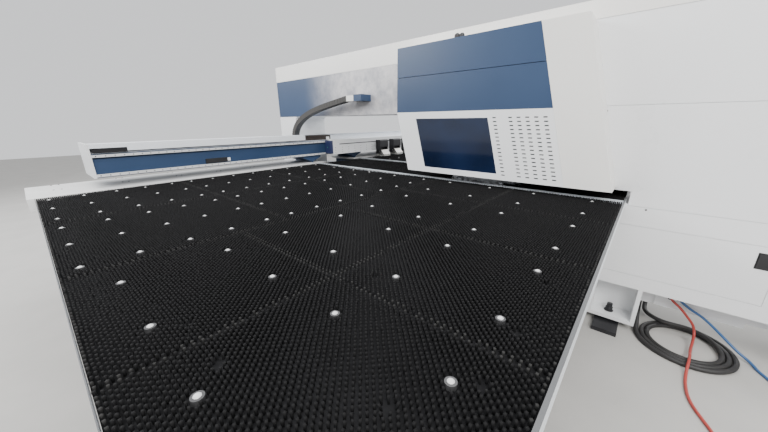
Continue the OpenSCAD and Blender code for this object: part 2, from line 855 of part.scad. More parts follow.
// One saddle foot: guide block, web through the slot, and the plate under the beam
module saddle_foot(with_nut) {
    y0 = beam_front + 30;
    y1 = beam_rear - 40;
    block_top = boards_bottom - 3;
    difference() {
        union() {
            along_y(y0, y1)
                polygon([[-slot_x - saddle_half_w, ledge_z + 6], [-slot_x + saddle_half_w, ledge_z + 6],
                         [-slot_x + saddle_half_w, block_top],
                         [-slot_x + 9, block_top], [-slot_x + 9, table_z + 12], [-slot_x + 130, beam_bottom - 24],
                         [-slot_x + 130, beam_bottom], [-slot_x - 130, beam_bottom],
                         [-slot_x - 130, beam_bottom - 24], [-slot_x - 9, table_z + 12],
                         [-slot_x - 9, block_top], [-slot_x - saddle_half_w, block_top]]);
            if (with_nut)
                translate([-screw_y_x, y0, screw_y_z]) rotate([-90, 0, 0]) cylinder(r = 26, h = 120);
        }
        box([-slot_x - rail_w / 2 - run, y0 - 1, ledge_z - 1], [-slot_x + rail_w / 2 + run, y1 + 1, ledge_z + rail_h + run]);
        if (with_nut)
            translate([-screw_y_x, y0 - 1, screw_y_z]) rotate([-90, 0, 0])
                cylinder(r = screw_y_r + 0.05, h = y1 - y0 + 2);
    }
}

module saddle() {
    color(blue) {
        saddle_foot(true);
        other_side() saddle_foot(false);
    }
}

groove_low = 1100;
groove_top = 1214;
groove_d = 60;
cover_top = groove_top - 8;
// Box beam of the X axis, with the screw's groove in its front and a cover plate over it
module x_beam() {
    wall = 14;
    x0 = -beam_half_l + end_plate;
    color(blue) {
        difference() {
            box([x0, body_front, beam_bottom], [-x0, beam_rear, beam_top]);
            box([x0 - 1, body_front + groove_d + wall, beam_bottom + wall], [1 - x0, beam_rear - wall, beam_top - wall]);
            box([x0 - 1, body_front - 1, groove_low], [1 - x0, body_front + groove_d, groove_top]);
        }
        box([x0, body_front - sheet, groove_low - 10], [-x0, body_front + eps, cover_top]);
    }
    // Limit switch on the cover
    color(black)
        box([-1676, body_front - sheet - 14, 1094], [-1470, body_front - sheet + eps, 1136]);
}

// Plates that close the beam's ends and carry the ends of the channel
module beam_ends() {
    color(white)
        for (s = [0, 1])
            mirror([s, 0, 0])
                along_x(-beam_half_l, -beam_half_l + end_plate)
                    polygon([[beam_front, beam_bottom], [beam_rear - 10, beam_bottom], [beam_rear, beam_bottom + 10],
                             [beam_rear, channel_top - 12], [beam_rear - 12, channel_top], [beam_front, channel_top]]);
}

channel_y = beam_front + 120;
front_wall_end = -494;
recess_end = -2262;
wall_low = beam_top + 15;
// Channel on the beam for the energy chain of the X axis, open along the carriage's side
module chain_channel() {
    x0 = -beam_half_l + end_plate;
    x1 = beam_half_l - end_plate;
    color(white) {
        box([x0, body_front, beam_top], [x1, beam_rear, beam_top + sheet]);
        box([x0, channel_y, beam_top + sheet - eps], [x1, channel_y + sheet, channel_top]);
        // Lid and hanging front wall over the left stretch; the carriage's arm passes under the wall
        box([x0, beam_front, channel_top - sheet], [front_wall_end, channel_y + sheet, channel_top]);
        along_y(beam_front, beam_front + sheet)
            polygon([[x0, channel_top], [x0, beam_top + 43], [recess_end, beam_top + 43], [recess_end, wall_low],
                     [front_wall_end, wall_low], [front_wall_end, channel_top]]);
        // Lip that runs on along the right stretch
        box([front_wall_end - eps, channel_y - 24, channel_top - sheet], [x1, channel_y + sheet, channel_top]);
    }
}

// Profile of a linear rail on the beam's front, centred on height z
module x_rail(z) {
    along_x(-beam_half_l + end_plate, beam_half_l - end_plate)
        polygon([[body_front, z - 10], [body_front, z + 10], [body_front - 10, z + 10], [body_front - 14, z + 6],
                 [body_front - 18, z + 10], [beam_front, z + 10], [beam_front, z - 10],
                 [body_front - 18, z - 10], [body_front - 14, z - 6], [body_front - 10, z - 10]]);
}

module x_rails() {
    color(steel) {
        x_rail(rail_upper_z);
        x_rail(rail_lower_z);
    }
}

// Ball screw of the X axis in the beam's groove
module x_screw() {
    color(steel)
        translate([-beam_half_l + end_plate + run, screw_x_y, screw_x_z]) rotate([0, 90, 0]) {
            cylinder(r = screw_x_r, h = 2 * (beam_half_l - end_plate - run));
            cylinder(r = screw_x_r + 8, h = 30);
            translate([0, 0, 2 * (beam_half_l - end_plate - run) - 30]) cylinder(r = screw_x_r + 8, h = 30);
        }
}

chain_in = 30;
// Last stretch of the X chain, which rides in the channel behind the carriage's bracket
module x_chain() {
    pitch = 58;
    x_end = carriage_left + 123;
    z0 = beam_top + sheet + run;
    color([0.16, 0.13, 0.12]) {
        for (i = [0 : 10])
            translate([x_end - (i + 1) * pitch, beam_front + chain_in + eps, z0])
                difference() {
                    cube([pitch - 2, 80, 60]);
                    translate([-1, 8, 8]) cube([pitch, 64, 44]);
                    translate([pitch / 2 - 1, -1, 30]) rotate([-90, 0, 0]) cylinder(r = 9, h = 5, $fn = 24);
                }
        for (y = [chain_in + 2, chain_in + 74])
            box([x_end - 11 * pitch, beam_front + y, z0 + 12], [x_end, beam_front + y + 4, z0 + 24]);
    }
}

// Carriage: front plate, end plate, guide blocks and the arm that drags the chain
module x_carriage() {
    x0 = carriage_left;
    x1 = carriage_left + carriage_l;
    face_top = 1239;
    face_low = 1062;
    plate = 28;
    back = carriage_front + plate;
    difference() {
        union() {
            color([0.86, 0.88, 0.87]) {
                // Front plate with a long slit for the clamps' keys
                difference() {
                    box([x0 + 45, carriage_front, face_low], [x1, back, face_top]);
                    box([x0 + 160, carriage_front - 1, face_top - 53], [x1 - 60, carriage_front + 8, face_top - 41]);
                    for (z = [1084, 1116, 1148])
                        for (x = [x0 + 90 : 120 : x1 - 40])
                            translate([x, carriage_front - 1, z]) rotate([-90, 0, 0]) cylinder(r = 5, h = 7, $fn = 16);
                }
                // Top flange that reaches back over the upper rail
                box([x0 + 45, carriage_front, face_top - 8], [x1, beam_front + 4, face_top + 12]);
            }
            color([0.13, 0.17, 0.33])
                box([x0, carriage_front, 1077], [x0 + 45 + eps, beam_front - run, 1241]);
            // Guide blocks on the two rails
            color(steel)
                for (z = [rail_upper_z, rail_lower_z])
                    for (x = [x0 + 90, (x0 + x1) / 2 - 60, x1 - 180])
                        box([x, back - eps, z - 18], [x + 120, body_front - 3, z + 14]);
            // Nut of the ball screw, on an arm through the slot over the cover
            color(steel)
                translate([(x0 + x1) / 2, 0, 0]) {
                    box([-60, back - eps, cover_top + 1.5], [60, screw_x_y + 4, groove_top - 1.5]);
                    box([-60, screw_x_y - 20, screw_x_z + 20], [60, screw_x_y + 4, groove_top - 1.5]);
                    box([-60, screw_x_y - 24, screw_x_z - 24], [60, screw_x_y + 24, screw_x_z + 24]);
                }
            // Arm under the channel's wall to the chain's last link
            color(black) {
                box([x0 + 45, beam_front - 30, face_top + 12 - eps], [x0 + 95, beam_front - 4, wall_low - 2]);
                box([x0 + 45, beam_front - 30, wall_low - 9], [x0 + 95, beam_front + chain_in, wall_low - 2]);
                box([x0 + 45, beam_front + chain_in - 6, wall_low - 9], [x0 + 95, beam_front + chain_in, wall_low + 30]);
            }
        }
        x_rail_space(rail_upper_z);
        x_rail_space(rail_lower_z);
        translate([-beam_half_l, screw_x_y, screw_x_z]) rotate([0, 90, 0]) cylinder(r = screw_x_r + 0.05, h = 2 * beam_half_l);
    }
}

// Space that a guide block leaves for its rail
module x_rail_space(z) {
    box([-beam_half_l, beam_front - run, z - 10 - run], [beam_half_l, body_front + 1, z + 10 + run]);
}

jaw_pivot_y = clamp_front + 22;
jaw_pivot_z = 1046;
jaw_w = 150;
// Clamp body with its lower jaw and the ears for the upper jaw's pin
module clamp(i) {
    x = clamp_x + i * clamp_pitch;
    low = table_z + 2;
    top = 1215;
    color([0.10, 0.10, 0.11])
        difference() {
            along_x(x - clamp_w / 2, x + clamp_w / 2)
                polygon([[carriage_front - run, 1010], [carriage_front - run, top], [clamp_front + 14, top],
                         [clamp_front, top - 14], [clamp_front, 1110], [clamp_front + 40, 1090], [clamp_front + 40, 1010]]);
            box([x - jaw_w / 2 - run, clamp_front - 1, 1000], [x + jaw_w / 2 + run, clamp_front + 52, 1088]);
        }
    color(steel) {
        box([x - jaw_w / 2, clamp_front - jaw_reach, low], [x + jaw_w / 2, carriage_front - run, low + 14]);
        box([x - jaw_w / 2, clamp_front + 52, low + 14 - eps], [x + jaw_w / 2, carriage_front - run, 1010 + eps]);
        for (s = [-1, 1])
            difference() {
                box([x + s * (jaw_w / 2 + 6) - 6 + (s > 0 ? run : -run), clamp_front + 4, jaw_pivot_z - 18],
                    [x + s * (jaw_w / 2 + 6) + 6 + (s > 0 ? run : -run), clamp_front + 44, 1112]);
                translate([x - clamp_w, jaw_pivot_y, jaw_pivot_z]) rotate([0, 90, 0]) cylinder(r = 8.05, h = 2 * clamp_w);
            }
    }
}

// Upper jaw with its pivot pin
module jaw(i) {
    x = clamp_x + i * clamp_pitch;
    grip = table_z + 2 + 14 + 1.2;
    color([0.78, 0.78, 0.76]) {
        along_x(x - jaw_w / 2, x + jaw_w / 2)
            polygon([[clamp_front - jaw_reach, grip], [clamp_front - jaw_reach, grip + 12], [clamp_front - 6, 1064],
                     [clamp_front + 30, 1070], [clamp_front + 42, 1040], [clamp_front + 30, 1018],
                     [clamp_front - 16, grip + 8], [clamp_front - 30, grip]]);
        translate([x - jaw_w / 2 - 10, jaw_pivot_y, jaw_pivot_z]) rotate([0, 90, 0]) cylinder(r = 8, h = jaw_w + 20);
    }
}

module clamp_1() { clamp(0); }
module clamp_2() { clamp(1); }
module clamp_3() { clamp(2); }
module jaw_1() { jaw(0); }
module jaw_2() { jaw(1); }
module jaw_3() { jaw(2); }

bracket_y0 = 981;
bracket_mid = 1096;
bracket_y1 = 1208;
bracket_low = 1690;
bracket_top = 1755;
chain_x = -wall_x - chain_reach;
// Bracket on the bridge's side that holds the fixed end of the energy chain
module chain_bracket() {
    color(blue)
        difference() {
            box([chain_x, bracket_y0, bracket_low], [-wall_x, bracket_mid, bracket_top]);
            box([chain_x + sheet, bracket_y0 + sheet, bracket_low + sheet],
                [-wall_x - sheet, bracket_mid + 1, bracket_top - sheet]);
        }
    color(white)
        difference() {
            box([chain_x, bracket_mid - eps, bracket_low + 2], [-wall_x, bracket_y1, bracket_top - 5]);
            box([chain_x + 8, bracket_mid - 1, bracket_low + 10], [-wall_x - 8, bracket_y1 + 1, bracket_top - 13]);
        }
}

// Centre line of the energy chain in Y and Z: a curve that droops and lands on the beam
chain_start = [bracket_y1 + 2.2, 1722];
chain_pull = [1700, 1640];
chain_fall = [2290, 1580];
chain_end = [2290, beam_top + sheet + 2];
function chain_at(t) = pow(1 - t, 3) * chain_start + 3 * pow(1 - t, 2) * t * chain_pull
    + 3 * (1 - t) * t * t * chain_fall + pow(t, 3) * chain_end;

// Points beside the chain's centre line, at a distance off from it
function chain_side(off) = [for (i = [0 : links])
    let (d = chain_at(min(i + 0.01, links) / links) - chain_at(max(i - 0.01, 0) / links))
        chain_at(i / links) + off * [-d[1], d[0]] / norm(d)];

// Energy chain of the Y axis: links with side plates and cross bars, on two bands of joints
module y_chain() {
    plate = 9;
    bar = 6;
    band = 11;
    color([0.30, 0.28, 0.26]) {
        for (i = [0 : links - 1]) {
            a = chain_at(i / links);
            b = chain_at((i + 1) / links);
            d = b - a;
            length = norm(d);
            translate([chain_x, a[0], a[1]]) rotate([atan2(d[1], d[0]), 0, 0]) {
                for (x = [0, chain_w - plate])
                    translate([x, 3, -chain_h / 2]) cube([plate, length - 6, chain_h]);
                for (z = [-chain_h / 2, chain_h / 2 - bar])
                    translate([plate - 1, length * 0.2, z + 0.5]) cube([chain_w - 2 * plate + 2, length * 0.6, bar - 1]);
            }
        }
        for (x = [chain_x + 2, chain_x + chain_w - 7])
            along_x(x, x + 5)
                polygon(concat(chain_side(band), [for (i = [links : -1 : 0]) chain_side(-band)[i]]));
    }
}

// Foot bracket: base plate, back plate and two gussets under the column
module foot_bracket(y) {
    depth = wall_x - base_half_w;
    difference() {
        union() {
            box([-wall_x, y - foot_w / 2, foot_z], [-base_half_w, y + foot_w / 2, foot_z + 26]);
            box([-base_half_w - 12, y - foot_w / 2, foot_z], [-base_half_w, y + foot_w / 2, column_bottom]);
            for (s = [-1, 1])
                translate([0, y + s * (foot_w / 2 - 12) - 12, 0]) along_y(0, 24)
                    polygon([[-wall_x, foot_z], [-base_half_w, foot_z], [-base_half_w, column_bottom], [-wall_x, column_bottom]]);
        }
        translate([-wall_x + depth / 2, y + bolt_off, foot_z - 1]) cylinder(r = bolt_r + 1, h = 40);
    }
}

module foot_brackets() {
    color(white)
        for (y = foot_ys) {
            foot_bracket(y);
            other_side() foot_bracket(y);
        }
}

// Levelling bolt with its block on the floor and two nuts
module levelling_bolt(y) {
    depth = wall_x - base_half_w;
    translate([-wall_x + depth / 2, y + bolt_off, 0]) {
        translate([-pad[0] + 45, -pad[1] / 2, 0]) cube([pad[0], pad[1], pad[2]]);
        cylinder(r = bolt_r, h = foot_z + 86);
        translate([0, 0, foot_z - 20 - eps]) cylinder(r = 28, h = 20 + eps - run, $fn = 6);
        translate([0, 0, foot_z + 26]) cylinder(r = 30, h = 5);
        translate([0, 0, foot_z + 31 - eps]) cylinder(r = 26, h = 24, $fn = 6);
    }
}

module levelling_bolts() {
    color(black)
        for (y = foot_ys) {
            levelling_bolt(y);
            other_side() levelling_bolt(y);
        }
}

// A tube along route points, as one closed skin of rings
module tube(points, r, sides = 8) {
    n = len(points);
    dirs = [for (i = [0 : n - 1])
                let (d = points[min(i + 1, n - 1)] - points[max(i - 1, 0)]) d / norm(d)];
    rings = [for (i = [0 : n - 1])
                let (d = dirs[i],
                     u0 = abs(d[2]) > 0.9 ? [1, 0, 0] : [0, 0, 1],
                     s = cross(d, u0) / norm(cross(d, u0)),
                     u = cross(s, d))
                [for (k = [0 : sides - 1])
                    points[i] + r * (cos(360 * k / sides) * s + sin(360 * k / sides) * u)]];
    skin = [for (i = [0 : n - 2]) for (k = [0 : sides - 1])
                for (f = [[i * sides + k, (i + 1) * sides + k, (i + 1) * sides + (k + 1) % sides],
                          [i * sides + k, (i + 1) * sides + (k + 1) % sides, i * sides + (k + 1) % sides]]) f];
    polyhedron(points = [for (ring = rings) for (p = ring) p],
               faces = concat([[for (k = [0 : sides - 1]) k]], skin,
                              [[for (k = [sides - 1 : -1 : 0]) (n - 1) * sides + k]]));
}

// A coil lying on the floor: turns side by side in layers, as one turned ring
module coil(centre, inner, r, turns, layers) {
    translate([centre[0], centre[1], 0])
        rotate_extrude() {
            for (turn = [0 : turns - 1])
                for (layer = [0 : layers - 1])
                    translate([inner + 2 * r * turn, r + 2 * r * layer]) circle(r, $fn = 16);
            translate([inner, r / 2]) square([2 * r * (turns - 1), 2 * r * (layers - 1) + r]);
        }
}

// Hose coupling that lies on a coil
module coupling(centre, inner, r) {
    translate([centre[0], centre[1], 0]) rotate(coupling_turn) translate([inner + 2.5 * r, 0, 4 * r + coupling_r * cos(30) - 0.5])
        rotate([-90, 0, 0]) {
            cylinder(r = coupling_r, h = 18, $fn = 6);
            cylinder(r = coupling_r * 0.8, h = 44);
        }
}

coupling_r = 11;
coupling_turn = 150;
cable_centre = [-202, -1838];
cable_inner = 196;
red_centre = [-1100, -2065];
blue_centre = [-400, -2345];
hose_inner = 76;
// Heights at which the cable's end and the red hose cross over the cable's turns
over = 3 * cable_r + 0.5;
red_over = 2 * cable_r + red_r + 0.5;
cable_in = [[150, -1582, column_bottom - run], [150, -1582, 240], [150, -1582, 150], [142, -1582, 104],
            [115, -1582, 60], [78, -1582, 31], [15, -1582, cable_r], [-30, -1582, cable_r],
            [-80, -1582, cable_r]];
cable_out = [[-39, -1911, over], [-26, -1869, over], [-23.5, -1832, over], [-29, -1794, over],
             [-31.5, -1734.5, over], [-8, -1678.5, over], [36.5, -1637.5, over], [106.5, -1619, over],
             [169, -1619, 62.5], [215, -1619, 108], [231.5, -1619, 170.5], [231.5, -1619, 240],
             [231.5, -1619, column_bottom - run]];
red_route = [[-155, -1712, column_bottom - run], [-155, -1713, 316], [-156, -1727, 288],
             [-140, -1777, 240], [-128, -1824, 185], [-107, -1865, 125], [-111, -1884, 75],
             [-172, -1880, 34], [-245, -1869, 22], [-311, -1861, 24], [-355, -1856, 33],
             [-395, -1851, red_over], [-445, -1844, red_over], [-464, -1841.5, red_over],
             [-483, -1839, 32], [-530, -1834, 14], [-585, -1829, red_r], [-641, -1826, red_r],
             [-735, -1830, red_r], [-810, -1847, red_r], [-880, -1876, red_r], [-945, -1905, red_r],
             [-1017, -1931, red_r], [-1065, -1943.5, red_r]];
blue_route = [[-140, -1757, column_bottom - run], [-140, -1759, 315], [-138, -1777, 285],
              [-121, -1832, 240], [-117, -1892, 207], [-109, -1956, 155], [-108, -2020, 98],
              [-132, -2086, 47], [-163, -2143, 16], [-225, -2171, blue_r], [-278, -2198, blue_r],
              [-330, -2219, blue_r], [-362, -2225, blue_r]];

module supply_cable() {
    color(black) {
        tube(cable_in, cable_r);
        tube(cable_out, cable_r);
    }
}

module supply_cable_coil() {
    color(black) coil(cable_centre, cable_inner, cable_r, 3, 1);
}

module red_hose() {
    color([0.75, 0.28, 0.26]) tube(red_route, red_r);
}

module red_hose_coil() {
    color([0.75, 0.28, 0.26]) {
        coil(red_centre, hose_inner, red_r, 3, 2);
        coupling(red_centre, hose_inner, red_r);
    }
}

module blue_hose() {
    color([0.16, 0.30, 0.55]) tube(blue_route, blue_r);
}

module blue_hose_coil() {
    color([0.16, 0.30, 0.55]) {
        coil(blue_centre, hose_inner, blue_r, 3, 2);
        coupling(blue_centre, hose_inner, blue_r);
    }
}

o_frame();
top_cover();
bridge_panel_left();
bridge_panel_right();
column_panels();
cabinet_door();
door_latch();
head_shell_left();
head_shell_right();
head_upper_panel_left();
head_upper_panel_right();
head_door_left();
head_door_right();
head_door_cap_left();
head_door_cap_right();
head_window_left();
head_window_right();
roof_gland();
upper_turret();
lower_turret();
ram_cylinder();
ram();
punches();
dies();
table_frame_left();
table_frame_right();
brush_left();
brush_right();
brush_centre();
ball_transfers();
edge_strips();
rear_deck_left();
rear_deck_right();
y_rails();
y_screw();
y_motor();
saddle();
x_beam();
beam_ends();
chain_channel();
x_rails();
x_screw();
x_chain();
x_carriage();
clamp_1();
clamp_2();
clamp_3();
jaw_1();
jaw_2();
jaw_3();
chain_bracket();
y_chain();
foot_brackets();
levelling_bolts();
supply_cable();
supply_cable_coil();
red_hose();
red_hose_coil();
blue_hose();
blue_hose_coil();
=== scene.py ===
import math
import bpy
import numpy as np
from mathutils import Matrix, Vector


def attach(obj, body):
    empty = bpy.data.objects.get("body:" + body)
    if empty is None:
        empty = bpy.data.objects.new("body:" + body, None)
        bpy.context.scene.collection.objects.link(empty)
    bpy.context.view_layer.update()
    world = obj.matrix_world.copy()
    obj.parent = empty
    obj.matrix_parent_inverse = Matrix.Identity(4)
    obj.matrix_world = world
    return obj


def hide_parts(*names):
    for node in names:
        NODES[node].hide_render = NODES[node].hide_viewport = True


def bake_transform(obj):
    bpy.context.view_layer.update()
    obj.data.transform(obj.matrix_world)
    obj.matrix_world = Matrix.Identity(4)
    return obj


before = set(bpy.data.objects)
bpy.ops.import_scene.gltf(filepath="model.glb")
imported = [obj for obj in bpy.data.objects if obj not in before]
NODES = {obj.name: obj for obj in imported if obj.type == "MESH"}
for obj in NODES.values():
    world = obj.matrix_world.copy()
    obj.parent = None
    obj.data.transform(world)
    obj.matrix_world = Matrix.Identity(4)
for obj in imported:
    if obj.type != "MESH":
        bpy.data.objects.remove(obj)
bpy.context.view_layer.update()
rng = np.random.default_rng(7)

# Sizes repeated from part.scad, in metres
TABLE_Z = 0.975
BOARD_Z = 0.958
BOARD_LOW = 0.935
CUP_TOP = 0.971
STRIP_TOP = 0.977
TABLE_OUTER = 2.855
SLOT_IN = 0.365
TABLE_FRONT = -1.347
TABLE_MID = 0.019
TABLE_REAR = 1.787
TILE_GAP = 0.005
TURRET_Y = -0.300
HOLE_R = 0.352
WALL_X = 0.255
HEAD_X = 0.505
HEAD_EAVES_Z = 2.083
RAKE = 0.2687
BEAM_FRONT = 1.892
BRACKET_MID = 1.096
CLAMP_BODY_LOW = 1.010

# The photo's camera: degrees, millimetres, and its place in metres
CAMERA_ANGLES = (40.660, 17.252, 0.377)
CAMERA_LENS = 14.206
CAMERA_SENSOR = 36
CAMERA_PLACE = (-2.830, -1.4075, 1.475)


def place(name, data):
    """A new object for some data, linked into the scene."""
    o = bpy.data.objects.new(name, data)
    bpy.context.scene.collection.objects.link(o)
    return o


# Camera and stage
def camera():
    yaw, pitch, roll = (math.radians(a) for a in CAMERA_ANGLES)
    ahead = Vector((math.cos(pitch) * math.cos(yaw), math.cos(pitch) * math.sin(yaw), -math.sin(pitch)))
    level = Vector((math.sin(yaw), -math.cos(yaw), 0))
    below = ahead.cross(level)
    if below.z > 0:
        below = -below
    right = level * math.cos(roll) + below * math.sin(roll)
    down = below * math.cos(roll) - level * math.sin(roll)
    data = bpy.data.cameras.new("camera")
    data.sensor_width = CAMERA_SENSOR
    data.lens = CAMERA_LENS
    data.clip_end = 100
    m = Matrix((right, -down, -ahead)).transposed().to_4x4()
    m.translation = CAMERA_PLACE
    cam = place("camera", data)
    cam.matrix_world = m
    bpy.context.scene.camera = cam


def light(name, spot, target, size, power, colour=(1, 1, 1)):
    data = bpy.data.lights.new(name, "AREA")
    data.shape = "RECTANGLE"
    data.size, data.size_y = size
    data.energy = power
    data.color = colour
    o = place(name, data)
    o.location = spot
    o.rotation_euler = (Vector(target) - Vector(spot)).to_track_quat("-Z", "Y").to_euler()


def stage():
    world = bpy.data.worlds.new("studio")
    bpy.context.scene.world = world
    world.use_nodes = True
    back = world.node_tree.nodes["Background"]
    back.inputs[0].default_value = (0.93, 0.94, 0.96, 1)
    back.inputs[1].default_value = 1.06
    light("key", (-5.3, -5.0, 5.5), (0, 0, 1.0), (5, 3), 620, (1, 0.985, 0.96))
    light("top", (-0.8, 0.5, 6.0), (-0.8, 0.5, 0), (8, 6), 430)
    light("windows", (-5.8, 6.5, 4.5), (-0.8, 0, 1), (6, 2), 480, (0.96, 0.98, 1))
    light("far", (6.2, -2.0, 4.5), (0.2, 0, 1), (5, 3), 260)
    bpy.ops.mesh.primitive_plane_add(size=40, location=(0, 0, 0))
    floor = bpy.context.object
    floor.name = "floor"
    pale = make("floor_pale", (0.44, 0.43, 0.41), 0.75, spread=0.05, scale=3, bump=0.05)
    floor.data.materials.append(pale)


# Shader helpers, which take the node tree first
def noise(t, where, scale, detail, roughness=0.5):
    n = t.nodes.new("ShaderNodeTexNoise")
    n.inputs["Scale"].default_value = scale
    n.inputs["Detail"].default_value = detail
    n.inputs["Roughness"].default_value = roughness
    t.links.new(where, n.inputs["Vector"])
    return n.outputs["Fac"]


def remap(t, value, low, high, out_low=0.0, out_high=1.0, curve="LINEAR"):
    n = t.nodes.new("ShaderNodeMapRange")
    n.interpolation_type = curve
    n.inputs["From Min"].default_value = low
    n.inputs["From Max"].default_value = high
    n.inputs["To Min"].default_value = out_low
    n.inputs["To Max"].default_value = out_high
    t.links.new(value, n.inputs["Value"])
    return n.outputs["Result"]


def multiply(t, a, b):
    n = t.nodes.new("ShaderNodeMath")
    n.operation = "MULTIPLY"
    t.links.new(a, n.inputs[0])
    t.links.new(b, n.inputs[1])
    return n.outputs[0]


def blended(t, under, colour, amount):
    """A plain colour laid over another one, by an amount from 0 to 1."""
    n = t.nodes.new("ShaderNodeMixRGB")
    n.inputs["Color2"].default_value = tuple(colour) + (1,)
    t.links.new(amount, n.inputs["Fac"])
    t.links.new(under, n.inputs["Color1"])
    return n.outputs["Color"]


def position(t):
    """Object coordinates, whole and split into X, Y and Z."""
    co = t.nodes.new("ShaderNodeTexCoord")
    xyz = t.nodes.new("ShaderNodeSeparateXYZ")
    t.links.new(co.outputs["Object"], xyz.inputs[0])
    return co.outputs["Object"], xyz.outputs


def overlay(m, colour, amount):
    """Lays a colour over the base colour of a finish that make() built."""
    t = m.node_tree
    base = t.nodes["Principled BSDF"].inputs["Base Color"]
    t.links.new(blended(t, base.links[0].from_socket, colour, amount), base)
    return m


def make(name, base, rough, metal=0.0, spread=0.04, scale=6.0, bump=0.02, fine=220.0,
         dirt=None, dirt_amount=0.0, coat=0.0, spec=0.5):
    """A procedural finish: cloudy colour, uneven gloss, fine bump, and patches of dirt or wear."""
    m = bpy.data.materials.new(name)
    m.use_nodes = True
    t = m.node_tree
    p = t.nodes["Principled BSDF"]
    p.inputs["Metallic"].default_value = metal
    p.inputs["Coat Weight"].default_value = coat
    p.inputs["Specular IOR Level"].default_value = spec
    where = t.nodes.new("ShaderNodeTexCoord").outputs["Object"]
    clouds = noise(t, where, scale, 5)
    ramp = t.nodes.new("ShaderNodeValToRGB")
    low, high = ramp.color_ramp.elements
    low.position, high.position = 0.3, 0.72
    low.color = tuple(max(0, c * (1 - spread)) for c in base) + (1,)
    high.color = tuple(min(1, c * (1 + spread)) for c in base) + (1,)
    t.links.new(clouds, ramp.inputs["Fac"])
    colour = ramp.outputs["Color"]
    if dirt:
        spots = noise(t, where, scale * 3.1, 8, 0.7)
        colour = blended(t, colour, dirt, remap(t, spots, 0.62, 0.78, 0, dirt_amount))
    t.links.new(colour, p.inputs["Base Color"])
    gloss = remap(t, clouds, 0, 1, max(0.02, rough - 0.08), min(1, rough + 0.08))
    t.links.new(gloss, p.inputs["Roughness"])
    b = t.nodes.new("ShaderNodeBump")
    b.inputs["Strength"].default_value = bump
    b.inputs["Distance"].default_value = 0.001
    t.links.new(noise(t, where, fine, 3), b.inputs["Height"])
    t.links.new(b.outputs["Normal"], p.inputs["Normal"])
    return m


def two_tone(name, first, second, axis, at):
    """Two colours on one node, parted at a coordinate; on the edge strips the dark upper colour is painted
    shade.
    """
    m = make(name, first, 0.36, spread=0.06, scale=5, bump=0.03)
    t = m.node_tree
    past = t.nodes.new("ShaderNodeMath")
    past.operation = "GREATER_THAN"
    past.inputs[1].default_value = at
    t.links.new(position(t)[1][axis], past.inputs[0])
    return overlay(m, second, past.outputs[0])


def film_blue():
    """Blue paint whose forward stretch still carries its whitish protective film."""
    m = make("blue_with_film", BLUE, 0.34, spread=0.05, scale=3, bump=0.015)
    t = m.node_tree
    where, xyz = position(t)
    along = remap(t, xyz["Y"], 2.20, 1.30, curve="SMOOTHSTEP")
    patch = remap(t, noise(t, where, 7, 9, 0.65), 0.30, 0.62, 0.45, 0.95)
    return overlay(m, (0.62, 0.60, 0.60), multiply(t, along, patch))


def bristle(name, low, tip):
    """Black nylon: darker lower down, greyer towards the tips, uneven from tuft to tuft."""
    m = make(name, low, 0.78, spread=0.3, scale=90, bump=0.3, fine=900, spec=0.16)
    t = m.node_tree
    where, xyz = position(t)
    up = remap(t, xyz["Z"], TABLE_Z - 0.005, TABLE_Z)
    return overlay(m, tip, multiply(t, up, noise(t, where, 2.2, 6)))


# Paints
WHITE = (0.80, 0.79, 0.76)
BLUE = (0.025, 0.053, 0.116)
white = make("white_enamel", WHITE, 0.33, spread=0.02, scale=2.2, bump=0.02,
             dirt=(0.45, 0.42, 0.37), dirt_amount=0.10)
white_cool = make("white_cool", (0.78, 0.79, 0.80), 0.30, spread=0.02, scale=2, bump=0.02,
                  dirt=(0.40, 0.38, 0.35), dirt_amount=0.10)
deck_white = make("deck_white", (0.66, 0.66, 0.65), 0.42, spread=0.04, scale=5, bump=0.03,
                  dirt=(0.30, 0.28, 0.26), dirt_amount=0.22)
channel_white = make("channel_white", (0.80, 0.83, 0.87), 0.30, spread=0.02, scale=2, bump=0.02,
                     dirt=(0.42, 0.41, 0.40), dirt_amount=0.08)
blue = make("blue_enamel", BLUE, 0.36, spread=0.05, scale=3, bump=0.02)
blue_film = film_blue()
navy = make("navy_enamel", (0.020, 0.030, 0.095), 0.38, spread=0.08, scale=5, bump=0.02)
green = make("green_dot", (0.04, 0.30, 0.12), 0.4, spread=0.05, bump=0.02)
gland_red = make("gland_red", (0.16, 0.030, 0.028), 0.42, spread=0.1, scale=20, bump=0.03)
bracket_paint = two_tone("bracket_paint", BLUE, WHITE, "Y", BRACKET_MID)

# Metals
steel = make("ground_steel", (0.55, 0.56, 0.58), 0.28, metal=1.0, spread=0.08, scale=9, bump=0.05, fine=400)
rail_bright = make("rail_bright", (0.74, 0.75, 0.76), 0.36, metal=0.3, spread=0.04, scale=20, bump=0.03)
iron = make("blackened_iron", (0.022, 0.022, 0.025), 0.42, metal=0.3, spread=0.2, scale=12, bump=0.06,
            dirt=(0.12, 0.10, 0.09), dirt_amount=0.3)
jaw_steel = make("jaw_steel", (0.58, 0.57, 0.54), 0.38, metal=0.8, spread=0.12, scale=16, bump=0.06,
                 dirt=(0.12, 0.11, 0.10), dirt_amount=0.35)
brass = make("brass", (0.62, 0.46, 0.20), 0.30, metal=1.0, spread=0.06, scale=30, bump=0.03)
# Edge strips: the dark top face is painted shade, above the pale front face.
strip_shaded_top = two_tone("strip_shaded_top", (0.72, 0.76, 0.80), (0.085, 0.088, 0.092), "Z", STRIP_TOP - 0.0005)
ball_steel = two_tone("ball_steel", (0.050, 0.050, 0.052), (0.62, 0.62, 0.62), "Z", CUP_TOP + 0.0008)
clamp_metal = two_tone("clamp_metal", (0.52, 0.52, 0.50), (0.020, 0.020, 0.023), "Z", CLAMP_BODY_LOW - 0.001)

